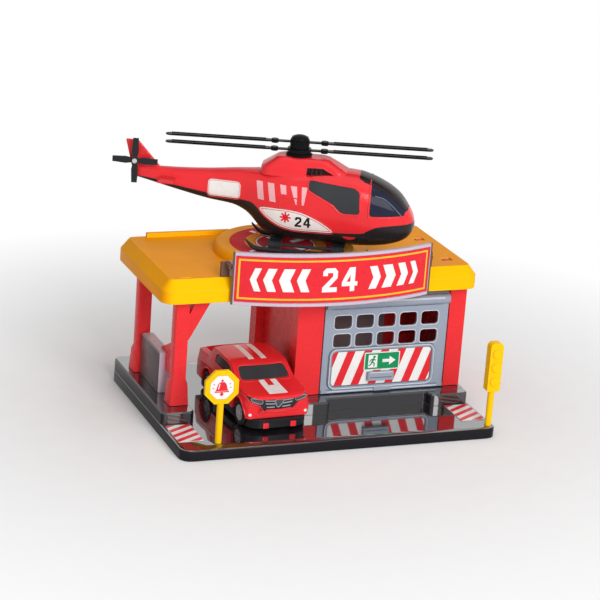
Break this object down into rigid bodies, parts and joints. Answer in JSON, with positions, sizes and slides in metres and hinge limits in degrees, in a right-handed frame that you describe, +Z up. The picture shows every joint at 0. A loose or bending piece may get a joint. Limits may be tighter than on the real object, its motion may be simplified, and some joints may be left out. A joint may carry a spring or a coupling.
{
  "type": "toy fire station playset",
  "caption": "Toy fire station with a flap garage door, open car bay, helipad roof, bowed sign board, helicopter, pickup car, octagonal sign and traffic light.",
  "frame": {"origin": "middle of the base's underside, on the tray's centre boss", "axes": "+X along the building's front to the right as seen from the front, +Y to the back, +Z up"},
  "size_m": [0.2534, 0.17, 0.2033],
  "materials": {
    "black_gloss": "polished black moulding",
    "black_satin": "satin black moulding",
    "red_plastic": "glossy red moulding",
    "yellow_plastic": "glossy warm yellow moulding",
    "blue_grey_plastic": "blue grey moulding",
    "pale_grey_plastic": "pale grey moulding",
    "printed_label": "printed plastic label",
    "white_label": "printed plastic label",
    "green_label": "printed plastic label",
    "dark_glazing": "dark opaque glazing",
    "silver_plastic": "silver painted moulding",
    "steel": "bright wire and screws"
  },
  "bodies": {
    "station": {"base_tray": "black_gloss", "screw_left_front": "steel", "screw_right_front": "steel", "screw_left_rear": "steel", "screw_right_rear": "steel", "screw_front_column": "steel", "screw_rear_column": "steel", "left_wall": "red_plastic", "right_wall": "red_plastic", "rear_wall": "red_plastic", "rear_shutter": "blue_grey_plastic", "door_header": "red_plastic", "front_column": "red_plastic", "rear_column": "red_plastic", "low_wall": "pale_grey_plastic", "roof_deck": "yellow_plastic", "helipad_label": "printed_label", "sign_board": "pale_grey_plastic", "sign_label": "printed_label", "apron_label_left": "printed_label", "apron_label_right": "printed_label"},
    "garage_door": {"door_panel": "blue_grey_plastic", "door_label": "printed_label", "exit_label": "green_label"},
    "alarm_stand": {"alarm_sign": "yellow_plastic", "alarm_label": "white_label"},
    "light_stand": {"traffic_light": "yellow_plastic"},
    "car": {"car_body": "red_plastic", "car_windshield": "dark_glazing", "car_rear_window": "dark_glazing", "car_window_left": "dark_glazing", "car_window_right": "dark_glazing", "car_grille": "black_satin", "car_chassis": "black_satin"},
    "car_front_wheels": {"car_front_axle": "steel", "car_front_left_tyre": "black_satin", "car_front_right_tyre": "black_satin", "car_front_left_cap": "silver_plastic", "car_front_right_cap": "silver_plastic"},
    "car_rear_wheels": {"car_rear_axle": "steel", "car_rear_left_tyre": "black_satin", "car_rear_right_tyre": "black_satin", "car_rear_left_cap": "silver_plastic", "car_rear_right_cap": "silver_plastic"},
    "helicopter": {"heli_upper_shell": "red_plastic", "heli_lower_shell": "black_satin", "heli_windshield": "dark_glazing", "heli_window_near": "dark_glazing", "heli_window_far": "dark_glazing", "skid_gear": "black_satin", "rotor_mast": "steel", "rotor_collar": "black_gloss", "tail_rotor_pin": "steel"},
    "main_rotor": {"rotor_blades_upper": "black_gloss", "rotor_cap": "black_gloss"},
    "lower_blades": {"rotor_blades_lower": "black_gloss"},
    "tail_rotor_wheel": {"tail_rotor": "black_satin"}
  },
  "joints": [
    {"name": "door_swing", "type": "hinge", "parent": "station", "child": "garage_door", "pos_m": [0.05475, -0.0165, 0.088], "axis": [-1, 0, 0], "range_deg": [0, 85]},
    {"name": "alarm_sign_lift", "type": "slide", "parent": "station", "child": "alarm_stand", "axis": [0, 0, 1], "range_m": [0, 0.03]},
    {"name": "traffic_light_lift", "type": "slide", "parent": "station", "child": "light_stand", "axis": [0, 0, 1], "range_m": [0, 0.03]},
    {"name": "car_roll", "type": "slide", "parent": "station", "child": "car", "axis": [0.0436, -0.999, 0], "range_m": [-0.03, 0.135]},
    {"name": "front_wheels_turn", "type": "hinge", "parent": "car", "child": "car_front_wheels", "pos_m": [-0.04139, -0.04297, 0.0173], "axis": [0.999, 0.0436, 0], "range_deg": [-200, 870]},
    {"name": "rear_wheels_turn", "type": "hinge", "parent": "car", "child": "car_rear_wheels", "pos_m": [-0.04401, 0.01697, 0.0173], "axis": [0.999, 0.0436, 0], "range_deg": [-200, 870]},
    {"name": "helicopter_lift", "type": "slide", "parent": "station", "child": "helicopter", "axis": [0, 0, 1], "range_m": [0, 0.12]},
    {"name": "rotor_spin", "type": "hinge", "parent": "helicopter", "child": "main_rotor", "pos_m": [-0.0084, 0.0181, 0.1937], "axis": [0, 0, 1], "continuous": true},
    {"name": "blade_spread", "type": "hinge", "parent": "main_rotor", "child": "lower_blades", "pos_m": [-0.0084, 0.0181, 0.1937], "axis": [0, 0, 1], "range_deg": [-90, 0]},
    {"name": "tail_rotor_spin", "type": "hinge", "parent": "helicopter", "child": "tail_rotor_wheel", "pos_m": [-0.11383, 0.07067, 0.17478], "axis": [0.4462, 0.8949, 0], "continuous": true}
  ],
  "couplings": [
    {"joint": "front_wheels_turn", "follows": "car_roll", "rad_per_m": 111.11},
    {"joint": "rear_wheels_turn", "follows": "car_roll", "rad_per_m": 111.11}
  ]
}
